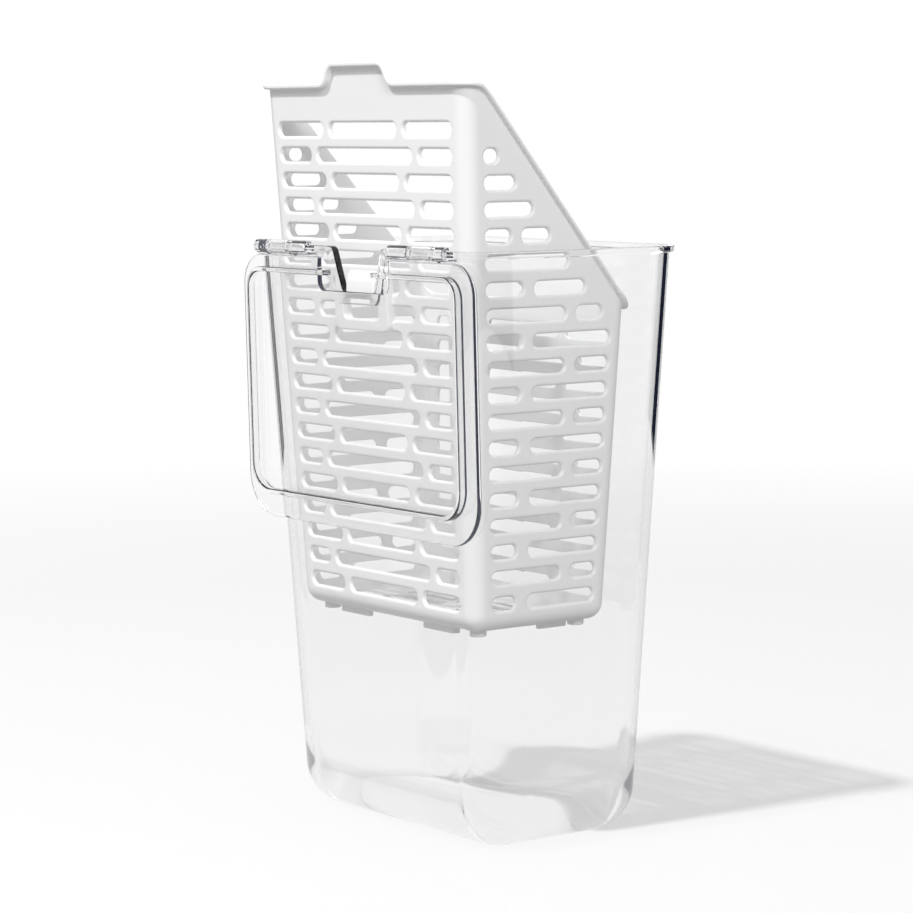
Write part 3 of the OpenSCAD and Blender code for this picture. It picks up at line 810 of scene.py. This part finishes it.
def new_material(name):
    material = bpy.data.materials.new(name)
    material.use_nodes = True
    material.node_tree.nodes.clear()
    return material, Tree(material.node_tree)


def mixed(t, share, one, two):
    """Shader one where the share is 0, and two where it is 1."""
    return t.add("ShaderNodeMixShader", values={0: share, 1: one, 2: two})


def white_plastic():
    """Satin white basket plastic with a very fine moulded grain."""
    material, t = new_material("white satin plastic")
    where = t.add("ShaderNodeTexCoord", out="Object")
    grain = t.add("ShaderNodeTexNoise", values={"Vector": where, "Scale": 900.0, "Detail": 2.0})
    cloud = t.add("ShaderNodeTexNoise", values={"Vector": where, "Scale": 14.0, "Detail": 3.0})
    bump = t.add("ShaderNodeBump", values={"Height": grain, "Strength": 0.05, "Distance": 0.0002})
    shader = t.add(
        "ShaderNodeBsdfPrincipled",
        values={
            "Base Color": (0.90, 0.90, 0.905, 1), "Roughness": 0.36 + cloud * 0.1, "IOR": 1.47, "Normal": bump,
        },
    )
    t.add("ShaderNodeOutputMaterial", values={"Surface": shader})
    return material


def clear_plastic():
    """Clear moulded plastic that bends light, and lets lamps and soft light through to the basket."""
    material, t = new_material("clear gloss plastic")
    where = t.add("ShaderNodeTexCoord", out="Object")
    x = t.add("ShaderNodeSeparateXYZ", values={0: where})
    y, z = x.out("Y"), x.out("Z")
    flow = t.add("ShaderNodeTexNoise", values={"Vector": where, "Scale": 22.0, "Detail": 2.0})
    bump = t.add("ShaderNodeBump", values={"Height": flow, "Strength": 0.15, "Distance": 0.0004})
    solid = t.add(
        "ShaderNodeBsdfPrincipled",
        values={
            "Base Color": grey(0.955), "Roughness": 0.01, "IOR": 1.5, "Specular IOR Level": 0.25,
            "Transmission Weight": 1.0, "Normal": bump,
        },
    )
    soft = t.add("ShaderNodeBsdfTransparent", values={"Color": grey(0.99)})
    lamps = t.add("ShaderNodeBsdfTransparent", values={"Color": grey(0.98)})
    # painted tints for light trapped in a wall: dark blue for painted dark reflections, pale for painted light
    # where it would get out
    painted_dark_tint = t.add("ShaderNodeBsdfTransparent", values={"Color": (0.05, 0.055, 0.08, 1)})
    painted_pale_tint = t.add("ShaderNodeBsdfTransparent", values={"Color": (0.88, 0.88, 0.89, 1)})
    # light trapped in a long wall takes a painted dark blue tint that stands in for dark reflections, and a
    # painted pale tint round the hinge and the lid's notch and partly in the base
    across = x.math("ABSOLUTE", x)
    hinge = (z > HINGE_FROM_Z * MM) * (y < HINGE_FROM_Y * MM)
    hinge = hinge * (across > HINGE_FROM_X * MM) * (across < HINGE_TO_X * MM)
    notch = (z > NOTCH_FROM_Z * MM) * (y < NOTCH_FROM_Y * MM)
    painted_trapped_tint = mixed(t, hinge.most(notch).most((z < BASE_TO_Z * MM) * BASE_SHARE), painted_dark_tint, painted_pale_tint)
    path = t.add("ShaderNodeLightPath", out="Is Shadow Ray")
    kept = (path.out("Glossy Depth") > MIRRORED_MOST).most(path.out("Ray Depth") > TURNED_MOST)
    lit = mixed(t, path.out("Is Diffuse Ray"), mixed(t, kept, solid, painted_trapped_tint), soft)
    t.add("ShaderNodeOutputMaterial", values={"Surface": mixed(t, path, lit, lamps)})
    return material


def looked_at(t):
    """1 for rays that look at the background, and 0 for rays that light the object."""
    path = t.add("ShaderNodeLightPath", out="Is Camera Ray")
    return (path + path.out("Is Glossy Ray") + path.out("Is Transmission Ray")).least(1.0)


def floor_material():
    """Pale floor that keeps the shadow and is plain white further off."""
    material, t = new_material("studio floor")
    where = t.add("ShaderNodeTexCoord", out="Object")
    away = t.add("ShaderNodeVectorMath", {"operation": "LENGTH"}, {0: where}, out="Value")
    far = ((away - WHITE_FROM) / WHITE_FADE).most(0.0).least(1.0)
    seen = looked_at(t)
    pale = t.add("ShaderNodeBsdfDiffuse", values={"Color": grey(0.65)})
    dull = t.add("ShaderNodeBsdfDiffuse", values={"Color": grey(0.4)})  # for the light it gives back
    plain = mixed(t, t.add("ShaderNodeLightPath", out="Is Diffuse Ray"), pale, dull)
    lift = t.add("ShaderNodeEmission", values={"Color": grey(1), "Strength": seen * FLOOR_LIFT})
    near = t.add("ShaderNodeAddShader", values={0: plain, 1: lift})
    paper = t.add("ShaderNodeEmission", values={"Color": grey(1), "Strength": 1.0})
    t.add("ShaderNodeOutputMaterial", values={"Surface": mixed(t, far * seen, near, paper)})
    return material


def dark_surround():
    """Dark studio round the white backdrop. Only light mirrored once or twice shows it, so clear
    walls stay clear from every side.
    """
    material, t = new_material("dark surround")
    place = t.add("ShaderNodeSeparateXYZ", values={0: t.add("ShaderNodeTexCoord", out="Object")})
    card = 0.0
    for angle in CARD_TURNS:
        toward = (place * math.cos(angle) + place.out("Y") * math.sin(angle)) / (SURROUND_R * MM)
        card = (toward > math.cos(CARD_HALF)) + card
    turns = t.add("ShaderNodeLightPath", out="Glossy Depth")
    mirrored = (turns > 0.5) * (turns < MIRRORED_MOST) * (1 - card)
    away = t.add("ShaderNodeBsdfTransparent", values={"Color": grey(1)})
    dark = t.add("ShaderNodeEmission", values={"Color": (0.3, 0.4, 1.0, 1), "Strength": 0.02})
    t.add("ShaderNodeOutputMaterial", values={"Surface": mixed(t, mirrored, away, dark)})
    return material


# --------------------------------------------------------------------- studio
def studio_floor():
    bm = bmesh.new()
    bmesh.ops.create_grid(bm, x_segments=1, y_segments=1, size=8000.0)
    floor = mesh_object("studio_floor", bm)
    floor.data.materials.append(floor_material())
    return floor


def studio_surround():
    """A wall round the object that is open towards the backdrop."""
    bm = bmesh.new()
    first, turn = BACKDROP_TURN + BACKDROP_HALF, 2 * math.pi - 2 * BACKDROP_HALF
    angles = [first + turn * k / SURROUND_STEPS for k in range(SURROUND_STEPS + 1)]
    low, high = (
        [bm.verts.new((SURROUND_R * math.cos(a), SURROUND_R * math.sin(a), z)) for a in angles]
        for z in (SURROUND_LOW, SURROUND_TALL)
    )
    for k in range(SURROUND_STEPS):
        bm.faces.new((low[k], low[k + 1], high[k + 1], high[k]))
    surround = mesh_object("studio_surround", bm)
    surround.data.materials.append(dark_surround())
    surround.visible_camera = surround.visible_diffuse = surround.visible_shadow = False
    return surround


def lamp(name, place, size, watts):
    """A round soft lamp that is aimed at the middle of the keeper. place and size are in metres."""
    light = bpy.data.objects.new(name, bpy.data.lights.new(name, "AREA"))
    light.data.shape, light.data.size, light.data.energy = "DISK", size, watts
    light.location = place
    light.rotation_euler = (Vector((0, 0, 0.15)) - light.location).to_track_quat("-Z", "Y").to_euler()
    bpy.context.collection.objects.link(light)
    return light


# ---------------------------------------------------------------------- scene
white, clear = white_plastic(), clear_plastic()
container, lid, basket = container_moulding(), lid_moulding(), basket_moulding(white)
for obj, material, body, node, slot_name in (
    (container, clear, "keeper", "container", "clear"),
    (lid, clear, "lid", "lid", "clear"),
    (basket, white, "keeper", "basket", "white"),
):
    obj.data.materials.clear()
    obj.data.materials.append(material)
    shaded(obj)
    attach(obj, body)
    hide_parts(node)

floor = studio_floor()
surround = studio_surround()

AMBIENT = 0.46  # light of the world on the object; where it is looked at, it is white
world = bpy.data.worlds.new("studio")
bpy.context.scene.world = world
world.use_nodes = True
world.node_tree.nodes.clear()
w = Tree(world.node_tree)
strength = AMBIENT + looked_at(w) * (1.0 - AMBIENT)
light = w.add("ShaderNodeBackground", values={"Color": grey(1), "Strength": strength})
w.add("ShaderNodeOutputWorld", values={"Surface": light})

# the key light casts the shadow, and the fills reach only the plastic
lamp("key light", (0.061, -2.181, 3.203), 0.2, 82.0)
fills = [
    lamp("soft fill", (1.9, -1.0, 1.4), 0.8, 29.0),
    lamp("back fill", (-1.2, 2.0, 1.2), 0.8, 15.0),
]
plastic_only = bpy.data.collections.new("lit by the soft fills")
for obj in (container, lid, basket):
    plastic_only.objects.link(obj)
for fill in fills:
    fill.light_linking.receiver_collection = plastic_only

# the camera, solved from the object's edges
FOCAL_PIXELS, FRAME_PIXELS, SENSOR = 3206.0255, 913, 36.0
EYE = (1.05845676673, -0.79309790411, 0.29200325442)
RIGHT, UP, AHEAD = (
    Vector((0.59822973, 0.80129143, -0.00729657)),
    Vector((-0.0802009, 0.06893149, 0.99439241)),
    Vector((-0.79730108, 0.59428991, -0.10550116)),
)
camera = bpy.data.objects.new("camera", bpy.data.cameras.new("camera"))
bpy.context.collection.objects.link(camera)
camera.data.sensor_width, camera.data.lens = SENSOR, FOCAL_PIXELS / FRAME_PIXELS * SENSOR
camera.data.clip_start, camera.data.clip_end = 0.05, 50.0
camera.matrix_world = Matrix.Translation(EYE) @ Matrix((RIGHT, UP, -AHEAD)).transposed().to_4x4()
bpy.context.scene.camera = camera
bpy.context.scene.view_settings.view_transform = "Standard"
